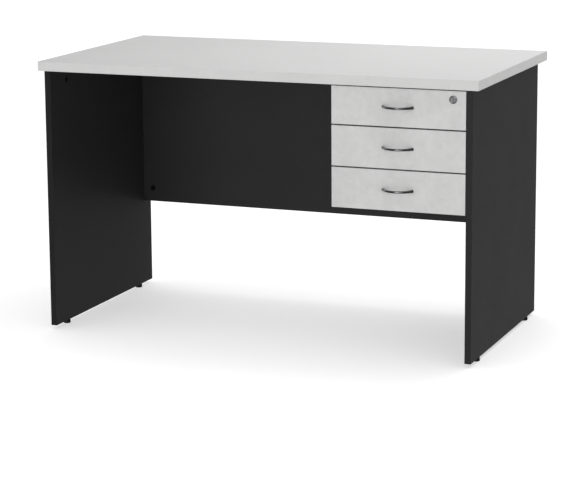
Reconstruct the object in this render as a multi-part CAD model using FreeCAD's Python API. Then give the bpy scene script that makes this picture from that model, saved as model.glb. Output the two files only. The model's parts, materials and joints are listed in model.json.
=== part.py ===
import FreeCAD, Part
import os

# Straight office desk. A laminated top stands on two end panels with a modesty panel between them,
# and a three-drawer pedestal hangs under the right end of the top.
# Millimetres. X runs left to right, Y front to back and Z up from the floor. The origin is on the
# floor, under the centre of the space that the whole desk takes up, handles included.

# Driving dimensions
DESK_WIDTH = 1200.0
DESK_DEPTH = 640.0         # the top, from its front edge to its back edge
DESK_HEIGHT = 720.0
TOP_THICKNESS = 25.0
BOARD = 16.0               # end panels, modesty panel, pedestal and drawer fronts
TOP_EDGING = 2.0
EDGING = 1.0
SIDE_OVERHANG = 16.0
FRONT_OVERHANG = 6.0
BACK_OVERHANG = 34.0
MODESTY_BOTTOM = 251.0
MODESTY_SETBACK = 27.0     # from the back edges of the end panels to the modesty panel
FOOT_HEIGHT = 10.0
FOOT_FROM_EDGE = 75.0      # from an end panel's front or back edge to the centre of its foot

PEDESTAL_WIDTH = 352.0
PEDESTAL_DEPTH = 500.0     # with the drawer fronts
FRONT_HEIGHTS = (96.0, 102.0, 102.0)    # drawer fronts, from the top one down
FRONT_GAP = 3.5            # between two drawer fronts
TOP_GAP = 3.0              # between the top drawer front and the desk top
CARCASS_GAP = 2.0          # between a closed drawer front and the pedestal's front edges
FRONT_INSET = 1.5          # from a pedestal side's outer face to the ends of the drawer fronts
DRAWER_NAMES = ("top", "middle", "bottom")

BOX_LENGTH = 400.0         # drawer box, from the drawer front to its back
BOX_HEIGHT = 60.0
BOX_BOARD = 12.0
BOX_ABOVE_FRONT = 20.0     # from a front's lower edge up to its box
RUNNER_GAP = 12.5          # from a drawer box to the pedestal side
BASE_THICKNESS = 3.0
GROOVE_DEPTH = 5.0
GROOVE_HEIGHT = 10.0       # from the box's lower edge up to its base

STEEL = 1.2                # runner sheet
RUNNER_RISE = 16.0         # from the box's lower edge to the underside of the drawer runner's flange
ROLLER_RADIUS = 8.0
ROLLER_WIDTH = 8.0
ROLLER_CLEARANCE = 0.3     # between a roller and each track that it can touch
AXLE_RADIUS = 2.0
RUNNING_FIT = 0.05         # radial clearance of a turning part
ROLLER_FROM_END = 12.0

HANDLE_CENTRES = 76.0
HANDLE_RISE = 24.0         # from the drawer front to the middle line of the bow
HANDLE_BAR = 3.0           # radius of the bow
HANDLE_LIFT = 1.0          # above the middle of the front

LOCK_FROM_RIGHT = 32.5     # from the top drawer front's right edge
LOCK_FROM_TOP = 21.5
LOCK_BODY = 8.2            # radius
LOCK_ROSETTE = 10.2        # radius
LOCK_BARREL = 6.0          # radius
HOUSING_TAIL = 6.0         # behind the drawer front
BARREL_TAIL = 1.0          # behind the housing
TONGUE_LENGTH = 24.0       # from the barrel's axis to the tip
TONGUE_WIDTH = 10.0
TONGUE_THICKNESS = 2.0

CAM_RADIUS = 7.5
CAM_DEPTH = 12.5
CAM_TO_EDGE = 34.0         # from a panel's top edge to its cam
MODESTY_CAM_TO_END = 28.0
MODESTY_CAM_TO_EDGE = 38.0
CAM_FROM_FRONT = 92.0      # from an end panel's front or back edge
BOLT_RADIUS = 3.5
BOLT_GRIP = 11.0           # the bolt's length in the board that it is screwed into
DOWEL_RADIUS = 4.0
DOWEL_IN_FACE = 10.0
DOWEL_IN_EDGE = 20.0

# Places worked out from the driving dimensions
handle_reach = HANDLE_RISE + HANDLE_BAR
past_top = handle_reach - FRONT_OVERHANG
top_front = past_top - (DESK_DEPTH + past_top) / 2
top_back = top_front + DESK_DEPTH
top_under = DESK_HEIGHT - TOP_THICKNESS
half_width = DESK_WIDTH / 2

panel_outer = half_width - SIDE_OVERHANG
panel_inner = panel_outer - BOARD
panel_middle = panel_outer - BOARD / 2
panel_front = top_front + FRONT_OVERHANG
panel_back = top_back - BACK_OVERHANG
modesty_back = panel_back - MODESTY_SETBACK
modesty_front = modesty_back - BOARD

pedestal_right = panel_inner
pedestal_left = pedestal_right - PEDESTAL_WIDTH
pedestal_middle = (pedestal_left + pedestal_right) / 2
side_face_right = pedestal_right - BOARD
side_face_left = pedestal_left + BOARD
front_face = panel_front
front_rear = front_face + BOARD
carcass_front = front_rear + CARCASS_GAP
carcass_back = front_face + PEDESTAL_DEPTH
front_left = pedestal_left + FRONT_INSET
front_right = pedestal_right - FRONT_INSET
lowest_front = top_under - TOP_GAP - sum(FRONT_HEIGHTS) - (len(FRONT_HEIGHTS) - 1) * FRONT_GAP
pedestal_bottom = lowest_front + EDGING

box_right = side_face_right - RUNNER_GAP
box_left = side_face_left + RUNNER_GAP
box_back = front_rear + BOX_LENGTH

lock_x = front_right - LOCK_FROM_RIGHT
lock_z = top_under - TOP_GAP - LOCK_FROM_TOP
housing_rear = front_rear + HOUSING_TAIL
barrel_rear = housing_rear + BARREL_TAIL
tongue_rear = barrel_rear + TONGUE_THICKNESS

RIGHT = FreeCAD.Vector(1, 0, 0)
LEFT = FreeCAD.Vector(-1, 0, 0)
BACK = FreeCAD.Vector(0, 1, 0)
UP = FreeCAD.Vector(0, 0, 1)
NEAR = 0.01                # two places closer than this are the same


def at(x, y, z):
    return FreeCAD.Vector(x, y, z)


def block(x_span, y_span, z_span):
    """Box between three (low, high) pairs."""
    size = [high - low for low, high in (x_span, y_span, z_span)]
    return Part.makeBox(*size, at(x_span[0], y_span[0], z_span[0]))


def rod(radius, start, direction, length):
    """Round bar that starts at a point."""
    return Part.makeCylinder(radius, length, start, direction)


def round_edges(shape, radius, wanted):
    """Round the straight edges whose middle point passes the test."""
    edges = [edge for edge in shape.Edges if wanted(edge.CenterOfMass)]
    return shape.makeFillet(radius, edges)


def mirrored(shape):
    """The same piece on the other side of the pedestal's middle plane."""
    return shape.mirror(at(pedestal_middle, 0, 0), RIGHT)


def save(name, solids):
    """Write one sub-part. Several solids are a group of separate pieces."""
    shape = solids[0] if len(solids) == 1 else Part.makeCompound(solids)
    shape.exportStep(f"parts/{name}.step")


def front_bottom(row):
    """Lower edge of a drawer front, counted from the top drawer."""
    return top_under - TOP_GAP - sum(FRONT_HEIGHTS[:row + 1]) - row * FRONT_GAP


# Joints between boards

def cam_joint(face_point, into, toward, distance):
    """Cam disc let into a board's face, its bolt to the mating board, and the hole for both."""
    slot_length = 9.0
    slot_width = 1.6
    slot_depth = 1.0
    cam_hole = rod(CAM_RADIUS, face_point, into, CAM_DEPTH)
    bolt = rod(BOLT_RADIUS, face_point + into * (BOARD / 2), toward, distance + BOLT_GRIP)
    across = into.cross(toward)
    slots = []
    for along, aside in ((toward, across), (across, toward)):
        corner = face_point - along * (slot_length / 2) - aside * (slot_width / 2)
        outline = [corner, corner + along * slot_length,
                   corner + along * slot_length + aside * slot_width,
                   corner + aside * slot_width, corner]
        slots.append(Part.Face(Part.makePolygon(outline)).extrude(into * slot_depth))
    cam = cam_hole.cut(bolt).cut(slots[0]).cut(slots[1])
    return cam, bolt, cam_hole.fuse(bolt)


def end_panel_joints(side):
    """Cams, bolts, holes and dowels that hold an end panel to the top. side is -1 or 1."""
    into = RIGHT if side > 0 else LEFT
    inner = side * panel_inner
    dowel_from_cam = 45.0
    cams, bolts, holes, dowels = [], [], [], []
    for y, step in ((panel_front + CAM_FROM_FRONT, 1), (panel_back - CAM_FROM_FRONT, -1)):
        cam, bolt, hole = cam_joint(at(inner, y, top_under - CAM_TO_EDGE), into, UP, CAM_TO_EDGE)
        cams.append(cam)
        bolts.append(bolt)
        holes.append(hole)
        foot = at(side * panel_middle, y + step * dowel_from_cam, top_under - DOWEL_IN_EDGE)
        dowels.append(rod(DOWEL_RADIUS, foot, UP, DOWEL_IN_EDGE + DOWEL_IN_FACE))
    return cams, bolts, holes, dowels


def modesty_joints(side):
    """Cams, bolts, holes and dowels that hold one end of the modesty panel."""
    toward = RIGHT if side > 0 else LEFT
    cams, bolts, holes, dowels = [], [], [], []
    for z in (MODESTY_BOTTOM + MODESTY_CAM_TO_EDGE, top_under - MODESTY_CAM_TO_EDGE):
        point = at(side * (panel_inner - MODESTY_CAM_TO_END), modesty_front, z)
        cam, bolt, hole = cam_joint(point, BACK, toward, MODESTY_CAM_TO_END)
        cams.append(cam)
        bolts.append(bolt)
        holes.append(hole)
    for share in (1 / 3, 2 / 3):
        z = MODESTY_BOTTOM + share * (top_under - MODESTY_BOTTOM)
        start = at(side * (panel_inner - DOWEL_IN_EDGE), modesty_front + BOARD / 2, z)
        dowels.append(rod(DOWEL_RADIUS, start, toward, DOWEL_IN_EDGE + DOWEL_IN_FACE))
    return cams, bolts, holes, dowels


# Feet

INSERT_RADIUS = 6.0
INSERT_LENGTH = 14.0
STUD_RADIUS = 3.92
STUD_LENGTH = 22.0
STUD_BORE = 4.0
FOOT_RADIUS = 9.5
FOOT_NECK = 7.5


def foot_places(side):
    """Centres of an end panel's two feet, front then back, at the panel's lower edge."""
    return [at(side * panel_middle, y, FOOT_HEIGHT)
            for y in (panel_front + FOOT_FROM_EDGE, panel_back - FOOT_FROM_EDGE)]


def foot_insert(place):
    """Threaded sleeve pressed into the panel's lower edge."""
    return rod(INSERT_RADIUS, place, UP, INSERT_LENGTH).cut(rod(STUD_BORE, place, UP, INSERT_LENGTH))


def foot_hole(place):
    """Hole in the panel for the sleeve, with room above it for the stud."""
    clearance = 0.4
    room_above = 2.0
    room = rod(STUD_BORE + clearance, place, UP, STUD_LENGTH + room_above)
    return rod(INSERT_RADIUS, place, UP, INSERT_LENGTH).fuse(room)


def levelling_foot(place):
    """Moulded round pad with rounded rims, a short neck and a threaded stud, screwed right in."""
    pad_height = 8.6
    lower_rounding = 1.8
    upper_rounding = 0.8
    floor = at(place.x, place.y, 0)
    pad = rod(FOOT_RADIUS, floor, UP, pad_height)
    pad = pad.makeFillet(lower_rounding, [edge for edge in pad.Edges if edge.BoundBox.ZMax < NEAR])
    pad = pad.makeFillet(upper_rounding, [edge for edge in pad.Edges
                                          if edge.Closed and edge.BoundBox.ZMin > pad_height - NEAR])
    neck = rod(FOOT_NECK, floor + UP * pad_height, UP, FOOT_HEIGHT - pad_height)
    stud = rod(STUD_RADIUS, place, UP, STUD_LENGTH)
    return pad.fuse([neck, stud]).removeSplitter()


# Top, end panels and modesty panel

def desk_top(holes):
    inset = TOP_EDGING
    board = block((-half_width + inset, half_width - inset), (top_front + inset, top_back - inset),
                  (top_under, DESK_HEIGHT))
    return board.cut(holes)


def desk_top_edging():
    """Four strips round the top, with their outer edges rounded."""
    z_span = (top_under, DESK_HEIGHT)
    top_middle = (top_under + DESK_HEIGHT) / 2
    rounding = 1.2
    strips = []
    for outer, inner in ((top_front, top_front + TOP_EDGING), (top_back, top_back - TOP_EDGING)):
        strip = block((-half_width, half_width), sorted((outer, inner)), z_span)
        strips.append(round_edges(strip, rounding, lambda c, y=outer: abs(c.y - y) < NEAR
                                  and abs(c.x) < NEAR))
    for side in (-1, 1):
        outer = side * half_width
        strip = block(sorted((outer, outer - side * TOP_EDGING)),
                      (top_front + TOP_EDGING, top_back - TOP_EDGING), z_span)
        strips.append(round_edges(strip, rounding, lambda c, x=outer: abs(c.x - x) < NEAR
                                  and abs(c.z - top_middle) > NEAR))
    return strips


def end_panel(side, holes):
    x_span = sorted((side * panel_inner, side * panel_outer))
    board = block(x_span, (panel_front + EDGING, panel_back - EDGING), (FOOT_HEIGHT, top_under))
    return board.cut(holes)


def panel_edging():
    """Strips on the front and back edges of the end panels and under the modesty panel."""
    strips = []
    for side in (-1, 1):
        x_span = sorted((side * panel_inner, side * panel_outer))
        for y_span in ((panel_front, panel_front + EDGING), (panel_back - EDGING, panel_back)):
            strips.append(block(x_span, y_span, (FOOT_HEIGHT, top_under)))
    strips.append(block((-panel_inner, panel_inner), (modesty_front, modesty_back),
                        (MODESTY_BOTTOM, MODESTY_BOTTOM + EDGING)))
    return strips


def modesty_panel(holes):
    board = block((-panel_inner, panel_inner), (modesty_front, modesty_back),
                  (MODESTY_BOTTOM + EDGING, top_under))
    return board.cut(holes)


# Pedestal carcass

RAIL_DEPTH = 80.0
RAIL_SETBACK = 16.0        # of the front rail, which leaves room for the lock
SCREW_RADIUS = 2.0
SCREW_HEAD = 4.0
SCREW_GRIP = 11.0          # a screw's length in the second board
STRIKE_THICKNESS = 1.5


def countersunk_screw(point, direction, length):
    """Screw with its flat head flush with the face at the point."""
    head_length = SCREW_HEAD - SCREW_RADIUS
    head = Part.makeCone(SCREW_HEAD, SCREW_RADIUS, head_length, point, direction)
    return head.fuse(rod(SCREW_RADIUS, point, direction, length)).removeSplitter()


def rail_spans():
    """Front and rear rails, as (low, high) pairs front to back."""
    front = carcass_front + RAIL_SETBACK
    rear = carcass_back - BOARD
    return {"front": (front, front + RAIL_DEPTH), "rear": (rear - RAIL_DEPTH, rear)}


def rail_screws():
    """Screws up through the rails into the top."""
    from_side = 60.0
    screws = []
    for low, high in rail_spans().values():
        for x in (side_face_left + from_side, side_face_right - from_side):
            point = at(x, (low + high) / 2, top_under - BOARD)
            screws.append(countersunk_screw(point, UP, BOARD + SCREW_GRIP))
    return screws


def side_screws():
    """Screws through the pedestal's right side into the end panel."""
    from_end = 45.0
    below_gap = 5.0
    screws = []
    for y in (carcass_front + from_end, carcass_back - BOARD - from_end):
        for row in (0, 1):
            z = front_bottom(row) - FRONT_GAP / 2 - below_gap
            screws.append(countersunk_screw(at(side_face_right, y, z), RIGHT, BOARD + SCREW_GRIP))
    return screws


def strike_spans():
    """Plate let into the right side, and the mortise that the lock's tongue turns into."""
    tongue_middle = barrel_rear + TONGUE_THICKNESS / 2
    above_tongue = 8.0
    below_tongue = 25.0
    plate_border = 6.0
    in_front = 3.5
    behind = 5.5
    half_mortise = 2.0
    mortise_depth = 8.0
    plate = ((side_face_right, side_face_right + STRIKE_THICKNESS),
             (tongue_middle - in_front, tongue_middle + behind),
             (lock_z - below_tongue - plate_border, lock_z + above_tongue + plate_border))
    mortise = ((side_face_right, side_face_right + mortise_depth),
               (tongue_middle - half_mortise, tongue_middle + half_mortise),
               (lock_z - below_tongue, lock_z + above_tongue))
    return plate, mortise


def lock_strike_plate():
    plate, mortise = strike_spans()
    return block(*plate).cut(block(*mortise))


def pedestal_side(side, holes):
    """Left (-1) or right (1) side of the pedestal."""
    x_span = (pedestal_left, side_face_left) if side < 0 else (side_face_right, pedestal_right)
    board = block(x_span, (carcass_front + EDGING, carcass_back), (pedestal_bottom, top_under))
    return board.cut(holes)


def pedestal_base():
    return block((side_face_left, side_face_right), (carcass_front + EDGING, carcass_back - BOARD),
                 (pedestal_bottom, pedestal_bottom + BOARD))


def pedestal_back():
    return block((side_face_left, side_face_right), (carcass_back - BOARD, carcass_back),
                 (pedestal_bottom, top_under))


def pedestal_rail(which, screws):
    rail = block((side_face_left, side_face_right), rail_spans()[which],
                 (top_under - BOARD, top_under))
    return rail.cut(screws)


def pedestal_edging():
    """Strips on the front edges of the pedestal's sides and base."""
    y_span = (carcass_front, carcass_front + EDGING)
    base_top = pedestal_bottom + BOARD
    return [block((pedestal_left, side_face_left), y_span, (pedestal_bottom, top_under)),
            block((side_face_right, pedestal_right), y_span, (pedestal_bottom, top_under)),
            block((side_face_left, side_face_right), y_span, (pedestal_bottom, base_top))]


# Runners and rollers. Each is drawn on the right side, and mirrored for the left.

FLANGE_REACH = 9.5         # of the drawer runner's flange, from the drawer side
CHANNEL_REACH = 10.0       # of the cabinet runner's flanges, from the pedestal side
CHANNEL_HEADROOM = 1.0     # above the drawer runner's flange
RUNNER_SETBACK = 2.0       # from the pedestal's front edge to the cabinet runner
WASHER_GAP = 0.6           # beside a roller
AXLE_HEAD = 3.0            # radius
AXLE_HEAD_LENGTH = 0.8
RUNNER_SCREW_HEAD = 3.5    # radius

cabinet_runner_front = carcass_front + RUNNER_SETBACK
cabinet_roller_y = cabinet_runner_front + ROLLER_FROM_END
drawer_roller_y = box_back - ROLLER_FROM_END


def box_bottom(row):
    return front_bottom(row) + BOX_ABOVE_FRONT


def flange_under(row):
    return box_bottom(row) + RUNNER_RISE


def roller_z(row):
    return flange_under(row) - ROLLER_CLEARANCE - ROLLER_RADIUS


def roller_axle(start, direction):
    """Riveted axle with a head that keeps the roller on."""
    end_play = 0.2
    length = WASHER_GAP + ROLLER_WIDTH + end_play
    shank = rod(AXLE_RADIUS, start, direction, length)
    return shank.fuse(rod(AXLE_HEAD, start + direction * length, direction, AXLE_HEAD_LENGTH))


def roller(start, direction):
    """Nylon roller with a raised hub round its bore."""
    hub_radius = 4.0
    recess_depth = 1.0
    recess_outer = 6.6
    end = start + direction * ROLLER_WIDTH
    body = rod(ROLLER_RADIUS, start, direction, ROLLER_WIDTH)
    rounding = 0.6
    body = body.makeFillet(rounding, [edge for edge in body.Edges if edge.Closed])
    ring = rod(recess_outer, end - direction * recess_depth, direction, recess_depth)
    ring = ring.cut(rod(hub_radius, end - direction * recess_depth, direction, recess_depth))
    return body.cut(ring).cut(rod(AXLE_RADIUS + RUNNING_FIT, start, direction, ROLLER_WIDTH))


def runner_screw_places(row):
    from_end = 60.0
    z = (box_bottom(row) + flange_under(row)) / 2
    return [at(side_face_right - STEEL, y, z)
            for y in (cabinet_runner_front + from_end, cabinet_runner_front + BOX_LENGTH - from_end)]


def runner_screw(place):
    """Screw with a thin flat head, flush in the runner's web."""
    shank_length = 12.0
    head = rod(RUNNER_SCREW_HEAD, place, RIGHT, STEEL)
    return head.fuse(rod(SCREW_RADIUS, place + RIGHT * STEEL, RIGHT, shank_length))


def cabinet_runner(row):
    """Channel on the pedestal side, open towards the drawer, with a roller's axle near its front."""
    inner = side_face_right - CHANNEL_REACH
    y_span = (cabinet_runner_front, cabinet_runner_front + BOX_LENGTH)
    track = roller_z(row) - ROLLER_RADIUS - ROLLER_CLEARANCE
    ceiling = flange_under(row) + STEEL + CHANNEL_HEADROOM
    web = block((side_face_right - STEEL, side_face_right), y_span, (track - STEEL, ceiling + STEEL))
    floor = block((inner, side_face_right), y_span, (track - STEEL, track))
    roof = block((inner, side_face_right), y_span, (ceiling, ceiling + STEEL))
    axle = roller_axle(at(side_face_right - STEEL, cabinet_roller_y, roller_z(row)), LEFT)
    runner = web.fuse([floor, roof, axle]).removeSplitter()
    return runner.cut([runner_screw(place) for place in runner_screw_places(row)])


def drawer_runner(row):
    """Rail under and beside the drawer side, with a roller's axle at its back."""
    wrap_under = 10.0
    y_span = (front_rear, box_back)
    bottom = box_bottom(row)
    flange = flange_under(row)
    outer = box_right + STEEL
    shelf = block((box_right - wrap_under, outer), y_span, (bottom - STEEL, bottom))
    web = block((box_right, outer), y_span, (bottom - STEEL, flange + STEEL))
    wing = block((box_right, box_right + FLANGE_REACH), y_span, (flange, flange + STEEL))
    axle = roller_axle(at(outer, drawer_roller_y, roller_z(row)), RIGHT)
    return shelf.fuse([web, wing, axle]).removeSplitter()


def cabinet_roller(row):
    start = at(side_face_right - STEEL - WASHER_GAP, cabinet_roller_y, roller_z(row))
    return roller(start, LEFT)


def drawer_roller(row):
    start = at(box_right + STEEL + WASHER_GAP, drawer_roller_y, roller_z(row))
    return roller(start, RIGHT)


# Drawers

HANDLE_FOOT = 4.5          # radius
HANDLE_FOOT_LENGTH = 5.0
HANDLE_SCREW_DEPTH = 4.0   # in the handle's foot
HANDLE_SCREW = 2.0         # radius
NOTCH_LENGTH = 15.0
NOTCH_CLEARANCE = 5.0      # below the tongue


def handle_ends(row):
    z = front_bottom(row) + FRONT_HEIGHTS[row] / 2 + HANDLE_LIFT
    middle = (front_left + front_right) / 2
    return [at(middle + step * HANDLE_CENTRES / 2, front_face, z) for step in (-1, 1)]


def drawer_handle(row):
    """Bow handle: a round bar bent to an arc, with a small round foot at each end."""
    start, end = handle_ends(row)
    crown = at((start.x + end.x) / 2, front_face - HANDLE_RISE, start.z)
    arc = Part.Arc(start, crown, end).toShape()
    tangent = arc.tangentAt(arc.FirstParameter)
    section = Part.Wire(Part.makeCircle(HANDLE_BAR, start, tangent))
    bow = Part.Wire(arc).makePipeShell([section], True, True)
    margin = 20.0
    behind = block((start.x - margin, end.x + margin), (front_face, front_face + margin),
                   (start.z - margin, start.z + margin))
    feet = [rod(HANDLE_FOOT, point - BACK * HANDLE_FOOT_LENGTH, BACK, HANDLE_FOOT_LENGTH)
            for point in (start, end)]
    holes = [rod(HANDLE_SCREW, point - BACK * HANDLE_SCREW_DEPTH, BACK, HANDLE_SCREW_DEPTH)
             for point in (start, end)]
    return bow.cut(behind).fuse(feet).cut(holes)


def handle_screws(row):
    """Pan-head machine screws through the drawer front from behind."""
    head_radius = 3.8
    head_length = 2.4
    screws = []
    for point in handle_ends(row):
        shank = rod(HANDLE_SCREW, point - BACK * HANDLE_SCREW_DEPTH, BACK, BOARD + HANDLE_SCREW_DEPTH)
        head = rod(head_radius, point + BACK * BOARD, BACK, head_length)
        screws.append(shank.fuse(head))
    return screws


def base_spans(row):
    bottom = box_bottom(row) + GROOVE_HEIGHT
    return ((box_left + BOX_BOARD - GROOVE_DEPTH, box_right - BOX_BOARD + GROOVE_DEPTH),
            (front_rear - GROOVE_DEPTH, box_back), (bottom, bottom + BASE_THICKNESS))


def drawer_front(row):
    """Front board with softened outer edges, a groove for the base and the holes in it."""
    bottom = front_bottom(row)
    rounding = 0.8
    z_span = (bottom, bottom + FRONT_HEIGHTS[row])
    board = block((front_left, front_right), (front_face, front_rear), z_span)
    board = round_edges(board, rounding, lambda c: abs(c.y - front_face) < NEAR)
    holes = [rod(HANDLE_SCREW, point, BACK, BOARD) for point in handle_ends(row)]
    holes.append(block(*base_spans(row)))
    if row == 0:
        holes.append(rod(LOCK_BODY, at(lock_x, front_face, lock_z), BACK, BOARD))
    return board.cut(holes)


def drawer_sides(row):
    """Left and right sides, grooved for the base. The top right one is notched for the lock."""
    z_span = (box_bottom(row), box_bottom(row) + BOX_HEIGHT)
    y_span = (front_rear, box_back)
    groove = block(*base_spans(row))
    right = block((box_right - BOX_BOARD, box_right), y_span, z_span).cut(groove)
    left = block((box_left, box_left + BOX_BOARD), y_span, z_span).cut(groove)
    if row == 0:
        notch_bottom = lock_z - TONGUE_LENGTH - NOTCH_CLEARANCE
        notch = block((box_right - BOX_BOARD, box_right), (front_rear, front_rear + NOTCH_LENGTH),
                      (notch_bottom, z_span[1]))
        right = right.cut(notch)
    return [left, right]


def drawer_back(row):
    """Back board, standing on the base between the sides."""
    base_top = box_bottom(row) + GROOVE_HEIGHT + BASE_THICKNESS
    return block((box_left + BOX_BOARD, box_right - BOX_BOARD), (box_back - BOX_BOARD, box_back),
                 (base_top, box_bottom(row) + BOX_HEIGHT))


# Lock in the top drawer front

ROSETTE_LENGTH = 2.0
NUT_RADIUS = 11.0
NUT_LENGTH = 4.0
BOSS_RADIUS = 4.0


def lock_point(y):
    return at(lock_x, y, lock_z)


def lock_housing():
    """Sleeve through the drawer front with a flange on its face."""
    rounding = 0.8
    rosette = rod(LOCK_ROSETTE, lock_point(front_face - ROSETTE_LENGTH), BACK, ROSETTE_LENGTH)
    front_rim = [edge for edge in rosette.Edges
                 if edge.Closed and edge.BoundBox.YMax < front_face - ROSETTE_LENGTH + NEAR]
    rosette = rosette.makeFillet(rounding, front_rim)
    body = rod(LOCK_BODY, lock_point(front_face), BACK, housing_rear - front_face)
    length = housing_rear - front_face + ROSETTE_LENGTH
    bore = rod(LOCK_BARREL + RUNNING_FIT, lock_point(front_face - ROSETTE_LENGTH), BACK, length)
    return rosette.fuse(body).removeSplitter().cut(bore)


def lock_nut():
    """Ring nut that clamps the housing behind the drawer front."""
    flat = 9.6
    ring = rod(NUT_RADIUS, lock_point(front_rear), BACK, NUT_LENGTH)
    keep = block((lock_x - NUT_RADIUS, lock_x + NUT_RADIUS), (front_rear, front_rear + NUT_LENGTH),
                 (lock_z - flat, lock_z + flat))
    return ring.common(keep).cut(rod(LOCK_BODY, lock_point(front_rear), BACK, NUT_LENGTH))


def lock_barrel():
    """Turning plug with a key slot in front and a boss for the tongue at the back."""
    recess = 0.4
    slot_depth = 6.0
    half_slot = 0.9
    half_height = 3.8
    start = front_face - ROSETTE_LENGTH + recess
    plug = rod(LOCK_BARREL, lock_point(start), BACK, barrel_rear - start)
    boss = rod(BOSS_RADIUS, lock_point(barrel_rear), BACK, TONGUE_THICKNESS)
    slot = block((lock_x - half_slot, lock_x + half_slot), (start, start + slot_depth),
                 (lock_z - half_height, lock_z + half_height))
    return plug.fuse(boss).cut(slot)


def lock_tongue():
    """Flat arm on the barrel's boss. It hangs down when the drawer is unlocked."""
    hub_radius = 7.0
    half = TONGUE_WIDTH / 2
    hub = rod(hub_radius, lock_point(barrel_rear), BACK, TONGUE_THICKNESS)
    arm = block((lock_x - half, lock_x + half), (barrel_rear, tongue_rear),
                (lock_z - TONGUE_LENGTH, lock_z))
    return hub.fuse(arm).cut(rod(BOSS_RADIUS, lock_point(barrel_rear), BACK, TONGUE_THICKNESS))


def lock_tongue_screw():
    """Screw head that holds the tongue on its boss."""
    head_radius = 5.5
    head_length = 2.5
    slot_depth = 1.0
    half_slot = 0.6
    slot = block((lock_x - head_radius, lock_x + head_radius),
                 (tongue_rear + head_length - slot_depth, tongue_rear + head_length),
                 (lock_z - half_slot, lock_z + half_slot))
    return rod(head_radius, lock_point(tongue_rear), BACK, head_length).cut(slot)


def save_frame():
    """Top, end panels, modesty panel, their fittings and the feet."""
    cams, bolts, dowels, inserts = [], [], [], []
    panel_holes = {-1: [], 1: []}
    modesty_holes = []
    for side in (-1, 1):
        new_cams, new_bolts, holes, new_dowels = end_panel_joints(side)
        panel_holes[side] += holes + new_dowels
        cams += new_cams
        bolts += new_bolts
        dowels += new_dowels
        new_cams, new_bolts, holes, new_dowels = modesty_joints(side)
        panel_holes[side] += new_bolts + new_dowels
        modesty_holes += holes + new_dowels
        cams += new_cams
        bolts += new_bolts
        dowels += new_dowels
        places = foot_places(side)
        panel_holes[side] += [foot_hole(place) for place in places]
        inserts += [foot_insert(place) for place in places]
        side_name = "left" if side < 0 else "right"
        for where, place in zip(("front", "rear"), places):
            save(f"{side_name}_{where}_foot", [levelling_foot(place)])
    save("left_end_panel", [end_panel(-1, panel_holes[-1])])
    save("right_end_panel", [end_panel(1, panel_holes[1] + side_screws())])
    save("modesty_panel", [modesty_panel(modesty_holes)])
    save("panel_edging", panel_edging())
    save("desk_top", [desk_top(bolts + dowels + rail_screws())])
    save("desk_top_edging", desk_top_edging())
    save("cam_locks", cams)
    save("cam_bolts", bolts)
    save("dowels", dowels)
    save("foot_inserts", inserts)


def save_pedestal():
    """Pedestal carcass with its screws, strike plate and cabinet runners."""
    rows = range(len(DRAWER_NAMES))
    runner_screws = [runner_screw(place) for row in rows for place in runner_screw_places(row)]
    left_runner_screws = [mirrored(screw) for screw in runner_screws]
    plate, mortise = strike_spans()
    right_holes = side_screws() + runner_screws + [block(*plate), block(*mortise)]
    save("pedestal_left_side", [pedestal_side(-1, left_runner_screws)])
    save("pedestal_right_side", [pedestal_side(1, right_holes)])
    save("pedestal_base", [pedestal_base()])
    save("pedestal_back", [pedestal_back()])
    save("pedestal_front_rail", [pedestal_rail("front", rail_screws())])
    save("pedestal_rear_rail", [pedestal_rail("rear", rail_screws())])
    save("pedestal_edging", pedestal_edging())
    save("pedestal_screws", rail_screws() + side_screws())
    save("lock_strike_plate", [lock_strike_plate()])
    save("cabinet_runner_screws", runner_screws + left_runner_screws)
    for row, name in enumerate(DRAWER_NAMES):
        runner = cabinet_runner(row)
        wheel = cabinet_roller(row)
        save(f"{name}_cabinet_runners", [mirrored(runner), runner])
        save(f"{name}_cabinet_rollers", [mirrored(wheel), wheel])


def save_drawers():
    """Three drawers, each with its front, box, handle, runners and rear rollers."""
    for row, name in enumerate(DRAWER_NAMES):
        runner = drawer_runner(row)
        wheel = drawer_roller(row)
        save(f"{name}_drawer_front", [drawer_front(row)])
        save(f"{name}_drawer_sides", drawer_sides(row))
        save(f"{name}_drawer_back", [drawer_back(row)])
        save(f"{name}_drawer_base", [block(*base_spans(row))])
        save(f"{name}_drawer_handle", [drawer_handle(row)])
        save(f"{name}_handle_screws", handle_screws(row))
        save(f"{name}_drawer_runners", [mirrored(runner), runner])
        save(f"{name}_drawer_rollers", [mirrored(wheel), wheel])


def save_lock():
    save("lock_housing", [lock_housing()])
    save("lock_nut", [lock_nut()])
    save("lock_barrel", [lock_barrel()])
    save("lock_tongue", [lock_tongue()])
    save("lock_tongue_screw", [lock_tongue_screw()])


os.makedirs("parts", exist_ok=True)
save_frame()
save_pedestal()
save_drawers()
save_lock()
print("desk box", DESK_WIDTH, DESK_DEPTH + past_top, DESK_HEIGHT)
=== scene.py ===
import json
import math

import bmesh
import bpy
from mathutils import Matrix, Vector


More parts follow.
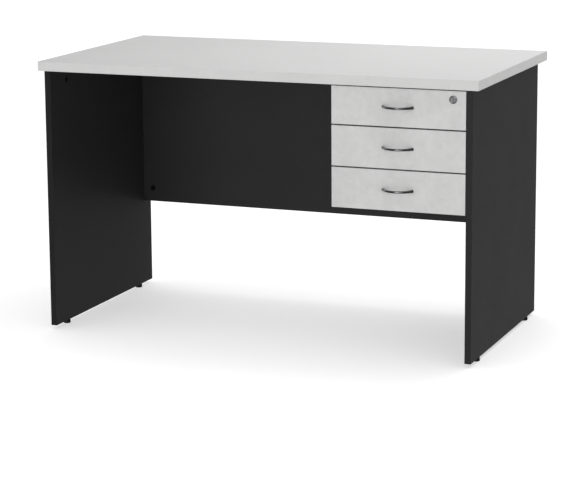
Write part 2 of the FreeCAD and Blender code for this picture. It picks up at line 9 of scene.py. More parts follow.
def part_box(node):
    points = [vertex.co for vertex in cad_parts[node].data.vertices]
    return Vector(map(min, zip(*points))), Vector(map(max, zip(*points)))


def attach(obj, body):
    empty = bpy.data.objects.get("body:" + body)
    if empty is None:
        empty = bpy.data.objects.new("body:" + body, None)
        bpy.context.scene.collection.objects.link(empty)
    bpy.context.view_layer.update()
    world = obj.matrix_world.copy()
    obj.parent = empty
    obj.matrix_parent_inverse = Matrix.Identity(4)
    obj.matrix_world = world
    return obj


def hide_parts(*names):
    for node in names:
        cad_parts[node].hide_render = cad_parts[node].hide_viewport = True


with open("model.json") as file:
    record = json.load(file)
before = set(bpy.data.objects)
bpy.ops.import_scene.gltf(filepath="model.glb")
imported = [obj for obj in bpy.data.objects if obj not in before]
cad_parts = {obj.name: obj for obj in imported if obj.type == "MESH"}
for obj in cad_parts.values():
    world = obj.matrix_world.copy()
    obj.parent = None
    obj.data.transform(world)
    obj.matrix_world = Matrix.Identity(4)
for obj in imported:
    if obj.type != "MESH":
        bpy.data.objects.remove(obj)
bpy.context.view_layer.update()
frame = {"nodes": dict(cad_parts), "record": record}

nodes = frame["nodes"]
DRAWERS = ("top", "middle", "bottom")
FEET = ("left_front_foot", "left_rear_foot", "right_front_foot", "right_rear_foot")


# ---------------------------------------------------------------- camera and light

def make_camera():
    """The camera stands beyond the desk's right end, above the top, and looks down a little.
    Lengths are in metres and angles in radians."""
    position = Vector((2.068, -5.254, 1.413))
    yaw = 0.3784
    pitch = 0.1890
    roll = -0.0069
    lens_mm = 134.07
    sensor_mm = 36.0
    shift_y = -0.069
    forward = Vector((-math.sin(yaw) * math.cos(pitch), math.cos(yaw) * math.cos(pitch),
                      -math.sin(pitch)))
    level = Vector((math.cos(yaw), math.sin(yaw), 0.0))
    upright = level.cross(forward)
    right = level * math.cos(roll) + upright * math.sin(roll)
    up = upright * math.cos(roll) - level * math.sin(roll)
    data = bpy.data.cameras.new("camera")
    data.lens = lens_mm
    data.sensor_width = sensor_mm
    data.shift_y = shift_y
    data.clip_start = 0.05
    data.clip_end = 200.0
    camera = bpy.data.objects.new("camera", data)
    turn = Matrix((right, up, -forward)).transposed().to_4x4()
    camera.matrix_world = Matrix.Translation(position) @ turn
    bpy.context.scene.collection.objects.link(camera)
    bpy.context.scene.camera = camera


def add_area(name, place, target, size, power, in_reflections=True):
    """Square softbox that points at a target."""
    data = bpy.data.lights.new(name, "AREA")
    data.shape = "SQUARE"
    data.size = size
    data.energy = power
    light = bpy.data.objects.new(name, data)
    light.location = place
    direction = Vector(target) - Vector(place)
    light.rotation_euler = direction.to_track_quat("-Z", "Y").to_euler()
    light.visible_glossy = in_reflections
    bpy.context.scene.collection.objects.link(light)


def add_patch(tree, direction, room, toward, edge, middle, brightness):
    """Add a soft bright patch to the room. It fades in between two cosines of the angle off its middle."""
    nearness = tree.nodes.new("ShaderNodeVectorMath")
    nearness.operation = "DOT_PRODUCT"
    nearness.inputs[1].default_value = Vector(toward).normalized()
    patch = tree.nodes.new("ShaderNodeMapRange")
    patch.inputs["From Min"].default_value = edge
    patch.inputs["From Max"].default_value = middle
    patch.inputs["To Max"].default_value = brightness
    total = tree.nodes.new("ShaderNodeMath")
    tree.links.new(direction, nearness.inputs[0])
    tree.links.new(nearness.outputs["Value"], patch.inputs["Value"])
    tree.links.new(patch.outputs["Result"], total.inputs[0])
    tree.links.new(room, total.inputs[1])
    return total.outputs["Value"]


def make_surroundings():
    """White walls for soft light, a little dimmer on the right. Shiny things see a dark room instead,
    with a few soft bright patches."""
    white = 1.0
    dark = 0.08
    strength = 0.95
    right_wall = dict(toward=(1.0, 0.0, 0.0), edge=0.0, middle=1.0, brightness=-0.18)
    back_wall = dict(toward=(0.0, 0.88, 0.47), edge=0.78, middle=0.98, brightness=0.80)
    low_behind = dict(toward=(0.05, 0.90, -0.43), edge=0.90, middle=1.0, brightness=0.38)
    in_front = dict(toward=(0.10, -0.99, -0.10), edge=0.84, middle=0.96, brightness=0.75)
    ceiling = dict(toward=(0.0, 0.0, 1.0), edge=0.90, middle=1.0, brightness=0.35)
    world = bpy.data.worlds.new("studio")
    world.use_nodes = True
    tree = world.node_tree
    background = tree.nodes["Background"]
    direction = tree.nodes.new("ShaderNodeTexCoord").outputs["Generated"]
    rooms = []
    for base, patches in ((white, (right_wall,)), (dark, (back_wall, low_behind, in_front, ceiling))):
        start = tree.nodes.new("ShaderNodeValue")
        start.outputs[0].default_value = base
        room = start.outputs[0]
        for patch in patches:
            room = add_patch(tree, direction, room, **patch)
        rooms.append(room)
    seen_by_matt, seen_by_shiny = rooms
    path = tree.nodes.new("ShaderNodeLightPath")
    choice = tree.nodes.new("ShaderNodeMix")
    tree.links.new(path.outputs["Is Glossy Ray"], choice.inputs["Factor"])
    tree.links.new(seen_by_matt, choice.inputs["A"])
    tree.links.new(seen_by_shiny, choice.inputs["B"])
    tree.links.new(choice.outputs["Result"], background.inputs["Color"])
    background.inputs["Strength"].default_value = strength
    bpy.context.scene.world = world


def make_light():
    """Surroundings, a soft fill from the front and a closer softbox above the top's right half."""
    make_surroundings()
    add_area("front_softbox", place=(0.1, -6.0, 1.7), target=(0.1, 0.0, 0.5), size=2.4, power=25.0)
    add_area("top_softbox", place=(0.5, 0.4, 2.2), target=(0.4, 0.1, 0.7), size=1.0, power=13.0,
             in_reflections=False)


# ---------------------------------------------------------------- shader helpers

class Surface:
    """One procedural material, with short ways to add and join its nodes."""

    # A colour mix keeps its two colours and its result at these places among its sockets.
    FIRST_COLOUR = 6
    SECOND_COLOUR = 7
    MIXED_COLOUR = 2

    def __init__(self, name, **uniform):
        self.material = bpy.data.materials.new(name)
        self.material.use_nodes = True
        self.tree = self.material.node_tree
        self.shader = self.tree.nodes["Principled BSDF"]
        for socket, value in uniform.items():
            self.shader.inputs[socket.replace("_", " ")].default_value = value
        self.place = self.tree.nodes.new("ShaderNodeTexCoord").outputs["Object"]
        self.rounded = None

    def add(self, kind, **settings):
        """Add a shader node and set its options."""
        made = self.tree.nodes.new("ShaderNode" + kind)
        for key, value in settings.items():
            setattr(made, key, value)
        return made

    def put(self, made, socket, value):
        """Set a socket to a number or colour, or link another node's output to it."""
        if isinstance(value, bpy.types.NodeSocket):
            self.tree.links.new(value, made.inputs[socket])
        else:
            made.inputs[socket].default_value = value

    def noise(self, per_metre, detail=3.0, roughness=0.55, stretch=(1.0, 1.0, 1.0), offset=0.0):
        """Cloudy pattern. The offset moves it along a slanting line, so that no two look the same."""
        drift = (1.0, 0.7, 1.3)
        mapping = self.add("Mapping")
        self.put(mapping, "Vector", self.place)
        self.put(mapping, "Scale", stretch)
        self.put(mapping, "Location", [offset * share for share in drift])
        made = self.add("TexNoise")
        self.put(made, "Vector", mapping.outputs["Vector"])
        self.put(made, "Scale", per_metre)
        self.put(made, "Detail", detail)
        self.put(made, "Roughness", roughness)
        return made.outputs["Fac"]

    def cells(self, per_metre):
        """Pattern of small rounded cells."""
        smoothness = 0.6
        made = self.add("TexVoronoi", feature="SMOOTH_F1")
        self.put(made, "Vector", self.place)
        self.put(made, "Scale", per_metre)
        self.put(made, "Smoothness", smoothness)
        return made.outputs["Distance"]

    def spread(self, value, low, high, from_low=0.3, from_high=0.7):
        """Map a noise value onto a range."""
        made = self.add("MapRange")
        self.put(made, "Value", value)
        self.put(made, "From Min", from_low)
        self.put(made, "From Max", from_high)
        self.put(made, "To Min", low)
        self.put(made, "To Max", high)
        return made.outputs["Result"]

    def along(self, axis):
        """The place along one axis of the desk's frame."""
        made = self.add("SeparateXYZ")
        self.put(made, "Vector", self.place)
        return made.outputs[axis]

    def combine(self, operation, first, second):
        """Work out one value from two."""
        made = self.add("Math", operation=operation)
        self.put(made, 0, first)
        self.put(made, 1, second)
        return made.outputs["Value"]

    def mix(self, share, first, second):
        """Blend two colours."""
        made = self.add("Mix", data_type="RGBA")
        self.put(made, "Factor", share)
        self.put(made, self.FIRST_COLOUR, first)
        self.put(made, self.SECOND_COLOUR, second)
        return made.outputs[self.MIXED_COLOUR]

    def edges(self, radius):
        """1 along the edges of the shape, 0 on its flats. It also softens those edges' shading."""
        rounded = self.add("Bevel", samples=6)
        self.put(rounded, "Radius", radius)
        self.rounded = rounded.outputs["Normal"]
        true = self.add("NewGeometry")
        dot = self.add("VectorMath", operation="DOT_PRODUCT")
        self.put(dot, 0, rounded.outputs["Normal"])
        self.put(dot, 1, true.outputs["Normal"])
        return self.spread(dot.outputs["Value"], low=1.0, high=0.0, from_low=0.80, from_high=0.995)

    def bump(self, height, depth, strength, under=None):
        """Shading for a height pattern, laid over another one or over the softened edges."""
        made = self.add("Bump")
        self.put(made, "Height", height)
        self.put(made, "Distance", depth)
        self.put(made, "Strength", strength)
        under = under or self.rounded
        if under is not None:
            self.put(made, "Normal", under)
        return made.outputs["Normal"]

    def finish(self, colour, roughness, normal):
        """Connect the three patterns to the shader and hand over the material."""
        self.put(self.shader, "Base Color", colour)
        self.put(self.shader, "Roughness", roughness)
        self.put(self.shader, "Normal", normal)
        return self.material


def tone(colour, factor):
    """A lighter or darker version of a colour, with the fourth channel that sockets want."""
    return (*[min(1.0, channel * factor) for channel in colour], 1.0)


# ---------------------------------------------------------------- materials

def laminate(name, colour, mottle, roughness, offset, edge_tone):
    """Melamine sheet: cloudy tone, fine speckle, pebbled skin, and arrises lightened partly by slight wear
    and partly by a painted highlight.
    """
    surface = Surface(name, Specular_IOR_Level=0.5)
    clouds = surface.noise(per_metre=9.0, detail=4.0, roughness=0.6, offset=offset)
    blotches = surface.noise(per_metre=55.0, detail=5.0, roughness=0.65, offset=offset + 3.1)
    speckle = surface.noise(per_metre=900.0, detail=2.0, roughness=0.5, offset=offset + 7.7)
    share = surface.combine("ADD", surface.spread(clouds, low=0.0, high=0.45),
                            surface.spread(blotches, low=0.0, high=0.40))
    share = surface.combine("ADD", share, surface.spread(speckle, low=0.0, high=0.15))
    body = surface.mix(share, tone(colour, 1.0 - mottle), tone(colour, 1.0 + mottle))
    # The arrises are lightened: partly wear, partly a painted highlight along the edges.
    edge_marks = surface.combine("MULTIPLY", surface.edges(radius=0.0009),
                           surface.spread(blotches, low=0.25, high=0.8))
    body = surface.mix(edge_marks, body, tone(colour, edge_tone))
    haze = surface.noise(per_metre=320.0, detail=2.0, offset=offset)
    skin = surface.spread(haze, low=roughness - 0.05, high=roughness + 0.05)
    skin = surface.combine("ADD", skin, surface.spread(clouds, low=-0.02, high=0.02))
    pebbles = surface.bump(surface.cells(per_metre=850.0), depth=0.00006, strength=0.55)
    waves = surface.noise(per_metre=14.0, detail=2.0, offset=offset)
    normal = surface.bump(waves, depth=0.00025, strength=0.35, under=pebbles)
    return surface.finish(body, skin, normal)


def edge_band(name, colour, roughness, offset, edge_tone):
    """Extruded plastic strip: faint lengthwise draw lines, a soft satin skin, and arrises lightened partly
    by wear and partly by a painted highlight.
    """
    surface = Surface(name, Specular_IOR_Level=0.5)
    clouds = surface.noise(per_metre=24.0, detail=3.0, offset=offset)
    lines = surface.noise(per_metre=1400.0, detail=2.0, roughness=0.5, stretch=(0.01, 0.01, 1.0),
                          offset=offset)
    share = surface.combine("ADD", surface.spread(clouds, low=0.0, high=0.6),
                            surface.spread(lines, low=0.0, high=0.4))
    body = surface.mix(share, tone(colour, 0.96), tone(colour, 1.03))
    # The arrises are lightened: partly wear, partly a painted highlight along the edges.
    edge_marks = surface.combine("MULTIPLY", surface.edges(radius=0.0010),
                           surface.spread(clouds, low=0.3, high=0.9))
    body = surface.mix(edge_marks, body, tone(colour, edge_tone))
    skin = surface.spread(lines, low=roughness - 0.05, high=roughness + 0.06)
    grain = surface.bump(surface.noise(per_metre=500.0, detail=2.0), depth=0.00004, strength=0.4)
    normal = surface.bump(lines, depth=0.00003, strength=0.4, under=grain)
    return surface.finish(body, skin, normal)


def hardboard(name):
    """White-faced hardboard with a soft fibrous mottle."""
    colour = (0.66, 0.66, 0.63)
    bare_fibre = (0.30, 0.21, 0.13)
    surface = Surface(name, Specular_IOR_Level=0.35)
    fibres = surface.noise(per_metre=140.0, detail=6.0, roughness=0.7, stretch=(1.0, 0.25, 1.0), offset=2.0)
    clouds = surface.noise(per_metre=18.0, detail=3.0, offset=5.0)
    share = surface.combine("ADD", surface.spread(fibres, low=0.0, high=0.6),
                            surface.spread(clouds, low=0.0, high=0.4))
    body = surface.mix(share, tone(colour, 0.90), tone(colour, 1.05))
    edge_marks = surface.edges(radius=0.0008)
    body = surface.mix(edge_marks, body, tone(bare_fibre, 1.0))
    skin = surface.spread(fibres, low=0.52, high=0.68)
    return surface.finish(body, skin, surface.bump(fibres, depth=0.00010, strength=0.6))


def powder_coat(name, colour, roughness, shine=0.5):
    """Baked powder coat with a fine orange-peel skin, rubbed a little on its edges."""
    surface = Surface(name, Specular_IOR_Level=shine)
    peel = surface.noise(per_metre=620.0, detail=2.0, roughness=0.5, offset=1.0)
    clouds = surface.noise(per_metre=40.0, detail=4.0, roughness=0.6, offset=4.0)
    body = surface.mix(surface.spread(clouds, low=0.0, high=1.0), tone(colour, 0.94), tone(colour, 1.04))
    edge_marks = surface.combine("MULTIPLY", surface.edges(radius=0.0005),
                           surface.spread(clouds, low=0.0, high=0.6))
    body = surface.mix(edge_marks, body, tone(colour, 0.72))
    skin = surface.spread(peel, low=roughness - 0.04, high=roughness + 0.06)
    return surface.finish(body, skin, surface.bump(peel, depth=0.00006, strength=0.7))


def plated(name, colour, roughness, brushed, scuff, feet_at=None):
    """Plated metal: fine polishing marks, faint haze and small scuffs. Given feet_at, painted shade darkens
    it towards its feet.
    """
    surface = Surface(name, Metallic=1.0)
    haze = surface.noise(per_metre=60.0, detail=4.0, roughness=0.6, offset=2.0)
    marks = surface.noise(per_metre=1800.0, detail=3.0, roughness=0.6, stretch=(1.0, 0.06, 1.0), offset=6.0)
    body = surface.mix(surface.spread(haze, low=0.0, high=1.0), tone(colour, 0.93), tone(colour, 1.03))
    edge_marks = surface.combine("MULTIPLY", surface.edges(radius=0.0004),
                           surface.spread(haze, low=0.0, high=scuff))
    body = surface.mix(edge_marks, body, tone(colour, 0.75))
    # Painted shade: towards the feet, where they meet the drawer front, the plating is darkened so the
    # handle's ends look dark.
    if feet_at is not None:
        shade_starts_within = 0.018
        full_shade_within = 0.003
        painted_shade_near_feet = surface.spread(surface.along("Y"), low=0.0, high=1.0, from_low=feet_at - shade_starts_within,
                                from_high=feet_at - full_shade_within)
        body = surface.mix(painted_shade_near_feet, body, tone(colour, 0.14))
    skin = surface.combine("ADD", surface.spread(haze, low=roughness, high=roughness + 0.05),
                           surface.spread(marks, low=0.0, high=brushed))
    return surface.finish(body, skin, surface.bump(marks, depth=0.00001, strength=0.3 + brushed))


def moulded(name, colour, roughness, subsurface=0.0):
    """Moulded plastic with a fine spark-eroded grain."""
    surface = Surface(name, Specular_IOR_Level=0.5, Subsurface_Weight=subsurface)
    grain = surface.noise(per_metre=1500.0, detail=3.0, roughness=0.6, offset=3.0)
    clouds = surface.noise(per_metre=80.0, detail=3.0, offset=8.0)
    body = surface.mix(surface.spread(clouds, low=0.0, high=1.0), tone(colour, 0.90), tone(colour, 1.08))
    edge_marks = surface.combine("MULTIPLY", surface.edges(radius=0.0006),
                           surface.spread(clouds, low=0.1, high=0.7))
    body = surface.mix(edge_marks, body, tone(colour, 1.6))
    skin = surface.spread(grain, low=roughness - 0.05, high=roughness + 0.08)
    return surface.finish(body, skin, surface.bump(grain, depth=0.00004, strength=0.6))


def beech(name):
    """Turned beech with fine lengthwise grain."""
    colour = (0.50, 0.33, 0.17)
    surface = Surface(name, Specular_IOR_Level=0.3)
    grain = surface.noise(per_metre=700.0, detail=4.0, roughness=0.6, stretch=(1.0, 1.0, 0.08), offset=1.0)
    clouds = surface.noise(per_metre=60.0, detail=3.0, offset=6.0)
    body = surface.mix(surface.spread(grain, low=0.0, high=1.0), tone(colour, 0.80), tone(colour, 1.15))
    skin = surface.spread(clouds, low=0.55, high=0.70)
    return surface.finish(body, skin, surface.bump(grain, depth=0.00008, strength=0.6))


def make_materials():
    """One material for each of the record's material slots, and a second chrome for the handles, with
    painted shade towards their feet.
    """
    top = (0.557, 0.557, 0.554)
    front = (0.552, 0.552, 0.548)
    top_edging = (0.578, 0.578, 0.574)
    charcoal = (0.0175, 0.0175, 0.0178)
    edging = (0.0090, 0.0090, 0.0092)
    box_board = (0.62, 0.62, 0.60)
    cream_paint = (0.66, 0.64, 0.58)
    black_paint = (0.0025, 0.0025, 0.0026)
    bright = (0.45, 0.45, 0.46)
    zinc = (0.55, 0.55, 0.54)
    ivory = (0.72, 0.70, 0.64)
    black_plastic = (0.0065, 0.0065, 0.0065)
    feet_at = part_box("top_drawer_front")[0].y
    return {
        # edge_tone lightens each board's arrises, partly wear and partly a painted highlight, strongest on
        # the charcoal boards and edging.
        "top_laminate": laminate("top_laminate", top, mottle=0.035, roughness=0.42, offset=0.0,
                                 edge_tone=1.05),
        "front_laminate": laminate("front_laminate", front, mottle=0.13, roughness=0.40, offset=11.0,
                                   edge_tone=1.05),
        "charcoal_laminate": laminate("charcoal_laminate", charcoal, mottle=0.14, roughness=0.42,
                                      offset=23.0, edge_tone=1.8),
        "drawer_box_board": laminate("drawer_box_board", box_board, mottle=0.03, roughness=0.45,
                                     offset=31.0, edge_tone=1.03),
        "top_edge_band": edge_band("top_edge_band", top_edging, roughness=0.38, offset=0.0, edge_tone=1.10),
        "charcoal_edge_band": edge_band("charcoal_edge_band", edging, roughness=0.36, offset=5.0,
                                        edge_tone=2.2),
        "hardboard": hardboard("hardboard"),
        "runner_steel": powder_coat("runner_steel", cream_paint, roughness=0.34),
        "cam_metal": powder_coat("cam_metal", black_paint, roughness=0.45, shine=0.15),
        "chrome": plated("chrome", bright, roughness=0.06, brushed=0.02, scuff=0.3),
        # The handles' chrome is darkened near its feet by painted shade.
        "handle_chrome": plated("handle_chrome", bright, roughness=0.08, brushed=0.02, scuff=0.3,
                                feet_at=feet_at),
        "zinc_steel": plated("zinc_steel", zinc, roughness=0.22, brushed=0.14, scuff=0.8),
        "nylon": moulded("nylon", ivory, roughness=0.36, subsurface=0.1),
        "foot_plastic": moulded("foot_plastic", black_plastic, roughness=0.42),
        "beech": beech("beech"),
    }


# ---------------------------------------------------------------- mesh helpers

def link(name, mesh):
    """Put a mesh into the scene as an object."""
    made = bpy.data.objects.new(name, mesh)
    bpy.context.scene.collection.objects.link(made)
    return made


def smooth(piece, degrees):
    """Smooth shading, with edges sharper than the angle kept crisp."""
    mesh = piece.data
    mesh.polygons.foreach_set("use_smooth", [True] * len(mesh.polygons))
    shape = bmesh.new()
    shape.from_mesh(mesh)
    limit = math.radians(degrees)
    for edge in shape.edges:
        edge.smooth = len(edge.link_faces) == 2 and edge.calc_face_angle(0.0) < limit
    shape.to_mesh(mesh)
    shape.free()


def arc(along, radius, deep, wide, start, end):
    """Outline points on an arc about (along, radius), from a start to an end angle in degrees. At 0 it
    is deep further along the axis, and at 90 it is wide further out."""
    steps = 5
    turns = [math.radians(start + (end - start) * step / steps) for step in range(steps + 1)]
    return [(along + deep * math.cos(turn), radius + wide * math.sin(turn)) for turn in turns]


def thread(start, end, pitch, radius, depth):
    """Outline points of a thread's grooves and crests from start to end."""
    turns = math.floor((end - start) / pitch)
    points = []
    for turn in range(turns):
        points.append((start + turn * pitch, radius - depth))
        points.append((start + (turn + 0.5) * pitch, radius))
    return points


def bridge(shape, rings, steps):
    """Faces from each ring of vertices to the next. A ring may be a single vertex, on the axis."""
    for near, far in zip(rings, rings[1:]):
        for step in range(steps):
            after = (step + 1) % steps
            corners = [near[step % len(near)], near[after % len(near)],
                       far[after % len(far)], far[step % len(far)]]
            unique = [corner for place, corner in enumerate(corners) if corner not in corners[:place]]
            shape.faces.new(unique)


def lathe(shape, profile, origin, axis, steps):
    """Turn a closed outline of (distance along the axis, radius) points into a solid."""
    on_axis = 1e-7
    axis = Vector(axis).normalized()
    side = axis.orthogonal().normalized()
    other = axis.cross(side)
    rings = []
    for along, radius in profile:
        centre = Vector(origin) + axis * along
        if radius < on_axis:
            rings.append([shape.verts.new(centre)])
            continue
        rings.append([shape.verts.new(centre + side * radius * math.cos(2 * math.pi * step / steps)
                                      + other * radius * math.sin(2 * math.pi * step / steps))
                      for step in range(steps)])
    bridge(shape, rings, steps)
    return rings


def finish_piece(shape, name, body, material, replaced, degrees=32.0):
    """Make a piece from a finished bmesh, shade it and tie it to its body."""
    bmesh.ops.recalc_face_normals(shape, faces=shape.faces)
    mesh = bpy.data.meshes.new(name)
    shape.to_mesh(mesh)
    shape.free()
    piece = link(name, mesh)
    smooth(piece, degrees)
    mesh.materials.append(material)
    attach(piece, body)
    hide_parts(*replaced)


# ---------------------------------------------------------------- pieces and floor

def make_handle(name, materials):
    """Bow handle: a slim bar on an arc that thickens towards its two round feet."""
    node = f"{name}_drawer_handle"
    low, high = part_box(node)
    face = high.y
    middle = (low + high) / 2
    bar_radius = 0.0028
    thicker_at_ends = 0.25
    taller_than_deep = 1.10
    foot_radius = 0.0040
    foot_length = 0.0020
    clearance = 0.0003
    half_span = (high.x - low.x) / 2 - foot_radius - clearance
    rise = (face - low.y) - bar_radius - clearance
    arc_radius = (half_span ** 2 + rise ** 2) / (2 * rise)
    sweep = math.asin(half_span / arc_radius)
    rings = 72
    around = 24
    shape = bmesh.new()
    loops = []
    for ring in range(rings + 1):
        angle = sweep * (2 * ring / rings - 1)
        centre = Vector((middle.x + arc_radius * math.sin(angle),
                         face - rise + arc_radius * (1 - math.cos(angle)), middle.z))
        tangent = Vector((math.cos(angle), math.sin(angle), 0.0))
        across = tangent.cross(Vector((0, 0, 1)))
        bar = bar_radius * (1.0 + thicker_at_ends * (angle / sweep) ** 2)
        nearness = max(0.0, 1.0 - (face - centre.y) / foot_length)
        deep = bar + (foot_radius - bar) * nearness
        tall = bar * taller_than_deep + (foot_radius - bar * taller_than_deep) * nearness
        loop = []
        for step in range(around):
            turn = 2 * math.pi * step / around
            offset = across * deep * math.cos(turn) + Vector((0, 0, tall * math.sin(turn)))
            loop.append(shape.verts.new(centre + offset))
        loops.append(loop)
    bridge(shape, loops, around)
    shape.faces.new(loops[0])
    shape.faces.new(list(reversed(loops[-1])))
    # The feet end flat on the drawer's front.
    for vert in shape.verts:
        vert.co.y = min(vert.co.y, face)
    finish_piece(shape, f"{name}_bow_handle", f"{name}_drawer", materials["handle_chrome"],
                 replaced=(node,), degrees=50.0)


def make_foot(name, materials):
    """Levelling foot: a ribbed pad with a waist, and its threaded stud."""
    low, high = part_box(name)
    centre = (low + high) / 2
    pad_radius = (high.x - low.x) / 2
    pad_height = 0.0086
    lower_round = 0.0020
    upper_round = 0.0009
    neck_step = 0.0021
    neck_radius = pad_radius - neck_step
    neck_top = 0.0100
    stud_radius = 0.0039
    thread_pitch = 0.00125
    thread_depth = 0.0005
    tip_chamfer = 0.0008
    groove_depth = 0.00033
    grooves = 24
    steps_per_groove = 3
    threaded_to = high.z - tip_chamfer
    tip_radius = stud_radius - thread_depth
    outline = [(0.0, 0.0)]
    outline += arc(lower_round, pad_radius - lower_round, lower_round, lower_round, 180, 90)
    outline += arc(pad_height - upper_round, pad_radius - upper_round, upper_round, upper_round, 90, 0)
    outline += [(pad_height, neck_radius), (neck_top, neck_radius)]
    outline += thread(neck_top, threaded_to, thread_pitch, stud_radius, thread_depth)
    outline += [(threaded_to, tip_radius), (high.z, tip_radius - tip_chamfer), (high.z, 0.0)]
    shape = bmesh.new()
    rings = lathe(shape, outline, (centre.x, centre.y, 0.0), (0, 0, 1), steps=grooves * steps_per_groove)
    # Grooves in the pad's widest rings stand for its moulded ribs.
    close_enough = 1e-6
    for ring, (along, radius) in zip(rings, outline):
        if math.isclose(radius, pad_radius, abs_tol=close_enough):
            for vert in ring[::steps_per_groove]:
                outwards = Vector((vert.co.x - centre.x, vert.co.y - centre.y, 0.0)).normalized()
                vert.co -= outwards * groove_depth
    finish_piece(shape, f"{name}_pad", name, materials["foot_plastic"],
                 replaced=(name,), degrees=28.0)


def cross_recess(point, direction, radius, depth):
    """Cutter for a cross recess: two tapered bars that cross, from just above the head to the floor of
    the recess."""
    wing = radius * 0.24
    floor_radius = radius * 0.45
    floor_wing = radius * 0.16
    proud = 0.0003
    corners = ((-1, -1), (1, -1), (1, 1), (-1, 1))
    cutter = bmesh.new()
    direction = Vector(direction).normalized()
    side = direction.orthogonal().normalized()
    other = direction.cross(side)
    start = Vector(point) - direction * proud
    floor = Vector(point) + direction * depth
    for along, aside in ((side, other), (other, side)):
        near = [start + along * radius * end + aside * wing * edge for end, edge in corners]
        far = [floor + along * floor_radius * end + aside * floor_wing * edge for end, edge in corners]
        bottom = [cutter.verts.new(corner) for corner in near]
        top = [cutter.verts.new(corner) for corner in far]
        cutter.faces.new(bottom[::-1])
        cutter.faces.new(top)
        for place in range(len(corners)):
            after = (place + 1) % len(corners)
            cutter.faces.new((bottom[place], bottom[after], top[after], top[place]))
    bmesh.ops.recalc_face_normals(cutter, faces=cutter.faces)
    return cutter


def carve(shape, cutter):
    """Cut one bmesh by another and return the result as a new bmesh."""
    made = []
    for name, source in (("body", shape), ("cutter", cutter)):
        mesh = bpy.data.meshes.new(name)
        source.to_mesh(mesh)
        source.free()
        made.append(link(name, mesh))
    body, tool = made
    cut = body.modifiers.new("cut", "BOOLEAN")
    cut.operation = "DIFFERENCE"
    cut.solver = "EXACT"
    cut.use_self = True
    cut.object = tool
    graph = bpy.context.evaluated_depsgraph_get()
    result = bmesh.new()
    result.from_mesh(bpy.data.meshes.new_from_object(body.evaluated_get(graph)))
    for thing in made:
        bpy.data.objects.remove(thing)
    return result


def pan_head(point, direction, head_radius, head_length, shank_radius, shank_length):
    """Pan-head screw with a cross recess. direction points from the head's top into the work."""
    crown = head_length * 0.62
    flat_radius = head_radius * 0.50
    recess_radius = head_radius * 0.55
    recess_depth = head_length * 0.75
    tip = head_length + shank_length
    outline = [(0.0, 0.0)]
    outline += arc(crown, flat_radius, crown, head_radius - flat_radius, 180, 90)
    outline += [(head_length, head_radius), (head_length, shank_radius), (tip, shank_radius), (tip, 0.0)]
    shape = bmesh.new()
    lathe(shape, outline, point, direction, steps=40)
    bmesh.ops.recalc_face_normals(shape, faces=shape.faces)
    return carve(shape, cross_recess(point, direction, recess_radius, recess_depth))


def flat_head(point, direction, head_radius, head_length, shank_radius, shank_length):
    """Countersunk screw, flush with its face, with a cross recess."""
    edge_width = 0.0003
    edge_depth = 0.0002
    recess_radius = head_radius * 0.60
    recess_depth = head_length * 0.90
    tip = head_length + shank_length
    outline = [(0.0, 0.0), (0.0, head_radius - edge_width), (edge_depth, head_radius),
               (head_length, shank_radius), (tip, shank_radius), (tip, 0.0)]
    shape = bmesh.new()
    lathe(shape, outline, point, direction, steps=40)
    bmesh.ops.recalc_face_normals(shape, faces=shape.faces)
    return carve(shape, cross_recess(point, direction, recess_radius, recess_depth))


def join(shapes):
    """One bmesh from several."""
    whole = bmesh.new()
    for shape in shapes:
        mesh = bpy.data.meshes.new("part")
        shape.to_mesh(mesh)
        shape.free()
        whole.from_mesh(mesh)
        bpy.data.meshes.remove(mesh)
    return whole


def make_handle_screws(name, materials):
    """The two machine screws behind a drawer front."""
    node = f"{name}_handle_screws"
    low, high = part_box(node)
    head_radius = (high.z - low.z) / 2
    head_length = 0.0024
    shank_radius = 0.0020
    z = (low.z + high.z) / 2
    screws = [pan_head((x, high.y, z), (0, -1, 0), head_radius, head_length, shank_radius,
                       high.y - low.y - head_length)
              for x in (low.x + head_radius, high.x - head_radius)]
    finish_piece(join(screws), f"{name}_handle_screw_pair", f"{name}_drawer",
                 materials["zinc_steel"], replaced=(node,))


def solids(node):
    """Low and high corners of each separate solid in a CAD node, from left to right."""
    same_point = 1e-6
    shape = bmesh.new()
    shape.from_mesh(nodes[node].data)
    bmesh.ops.remove_doubles(shape, verts=shape.verts, dist=same_point)
    waiting = set(shape.verts)
    boxes = []
    while waiting:
        front = [waiting.pop()]
        group = list(front)
        while front:
            for edge in front.pop().link_edges:
                for vert in edge.verts:
                    if vert in waiting:
                        waiting.discard(vert)
                        front.append(vert)
                        group.append(vert)
        points = [vert.co for vert in group]
        boxes.append((Vector([min(point[axis] for point in points) for axis in range(3)]),
                      Vector([max(point[axis] for point in points) for axis in range(3)])))
    shape.free()
    return sorted(boxes, key=lambda box: tuple(box[0]))


def make_flat_screws(node, materials, head_length, shank_radius):
    """Countersunk screws of a CAD node. Each points away from the pedestal's middle, or up."""
    base_low, base_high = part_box("pedestal_base")
    middle = (base_low.x + base_high.x) / 2
    screws = []
    for low, high in solids(node):
        size = high - low
        centre = (low + high) / 2
        if size.z > size.x:
            point = Vector((centre.x, centre.y, low.z))
            direction = (0, 0, 1)
            length = size.z
        elif centre.x > middle:
            point = Vector((low.x, centre.y, centre.z))
            direction = (1, 0, 0)
            length = size.x
        else:
            point = Vector((high.x, centre.y, centre.z))
            direction = (-1, 0, 0)
            length = size.x
        screws.append(flat_head(point, direction, size.y / 2, head_length, shank_radius,
                                length - head_length))
    finish_piece(join(screws), f"{node}_detailed", "carcass", materials["zinc_steel"],
                 replaced=(node,))


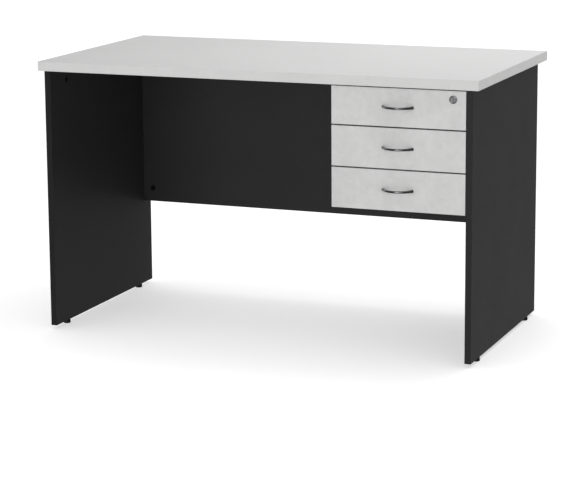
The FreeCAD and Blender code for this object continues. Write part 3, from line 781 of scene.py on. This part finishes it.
def make_lock_housing(materials):
    """Lock sleeve with a domed rosette, a dished ring round the barrel and a threaded tail."""
    low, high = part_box("lock_housing")
    centre = (low + high) / 2
    rosette_radius = (high.x - low.x) / 2
    barrel_low, barrel_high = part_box("lock_barrel")
    barrel_gap = 0.00005
    bore = (barrel_high.x - barrel_low.x) / 2 + barrel_gap
    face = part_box("top_drawer_front")[0].y - low.y
    nut_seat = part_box("lock_nut")[0].y - low.y
    tail = high.y - low.y
    mouth_deep = 0.0009
    mouth_wide = 0.0013
    dome_radius = 0.0034
    dome_turn = 45
    wall_slope = 0.0002
    dome_middle = rosette_radius - wall_slope - dome_radius * math.sin(math.radians(dome_turn))
    sleeve_radius = 0.0082
    thread_pitch = 0.0010
    thread_depth = 0.0005
    same_point = 1e-7
    outline = arc(mouth_deep, bore + mouth_wide, mouth_deep, mouth_wide, -90, -180)
    outline += arc(dome_radius, dome_middle, dome_radius, dome_radius, 180, 180 - dome_turn)
    outline += [(face, rosette_radius), (face, sleeve_radius), (nut_seat, sleeve_radius)]
    outline += thread(nut_seat, tail, thread_pitch, sleeve_radius, thread_depth)
    outline += [(tail, sleeve_radius - thread_depth), (tail, bore), (mouth_deep, bore)]
    shape = bmesh.new()
    lathe(shape, outline, (centre.x, low.y, centre.z), (0, 1, 0), steps=72)
    bmesh.ops.remove_doubles(shape, verts=shape.verts, dist=same_point)
    finish_piece(shape, "lock_rosette", "top_drawer", materials["chrome"],
                 replaced=("lock_housing",), degrees=40.0)


def dress_cad_nodes(materials):
    """Give every CAD node that stays its slot's material."""
    slots = {part["node"]: part["material_slot"] for part in frame["record"]["subparts"]}
    for name, piece in nodes.items():
        if piece.hide_render:
            continue
        piece.data.materials.clear()
        piece.data.materials.append(materials[slots[name]])


def make_floor():
    """Pale matt floor."""
    surface = Surface("floor", Specular_IOR_Level=0.2)
    pale = (0.715, 0.715, 0.715)
    glow = 0.45
    clouds = surface.noise(per_metre=0.8, detail=3.0)
    body = surface.mix(surface.spread(clouds, low=0.0, high=1.0), tone(pale, 0.98), tone(pale, 1.02))
    skin = surface.spread(clouds, low=0.75, high=0.85)
    surface.put(surface.shader, "Emission Color", tone((1.0, 1.0, 1.0), 1.0))
    surface.put(surface.shader, "Emission Strength", glow)
    grain = surface.bump(surface.noise(per_metre=60.0, detail=2.0), depth=0.0002, strength=0.1)
    material = surface.finish(body, skin, grain)
    half = 40.0
    sides = ((-half, -half), (half, -half), (half, half), (-half, half))
    shape = bmesh.new()
    shape.faces.new([shape.verts.new((x, y, 0.0)) for x, y in sides])
    mesh = bpy.data.meshes.new("floor")
    shape.to_mesh(mesh)
    shape.free()
    mesh.materials.append(material)
    floor = link("floor", mesh)
    floor.visible_glossy = False


def make_desk():
    """Detailed pieces first, then materials for the CAD nodes that are left."""
    materials = make_materials()
    for name in DRAWERS:
        make_handle(name, materials)
        make_handle_screws(name, materials)
    for name in FEET:
        make_foot(name, materials)
    make_lock_housing(materials)
    make_flat_screws("cabinet_runner_screws", materials, head_length=0.0012, shank_radius=0.0020)
    make_flat_screws("pedestal_screws", materials, head_length=0.0020, shank_radius=0.0020)
    dress_cad_nodes(materials)


bpy.context.scene.view_settings.view_transform = "Standard"
make_camera()
make_light()
make_floor()
make_desk()
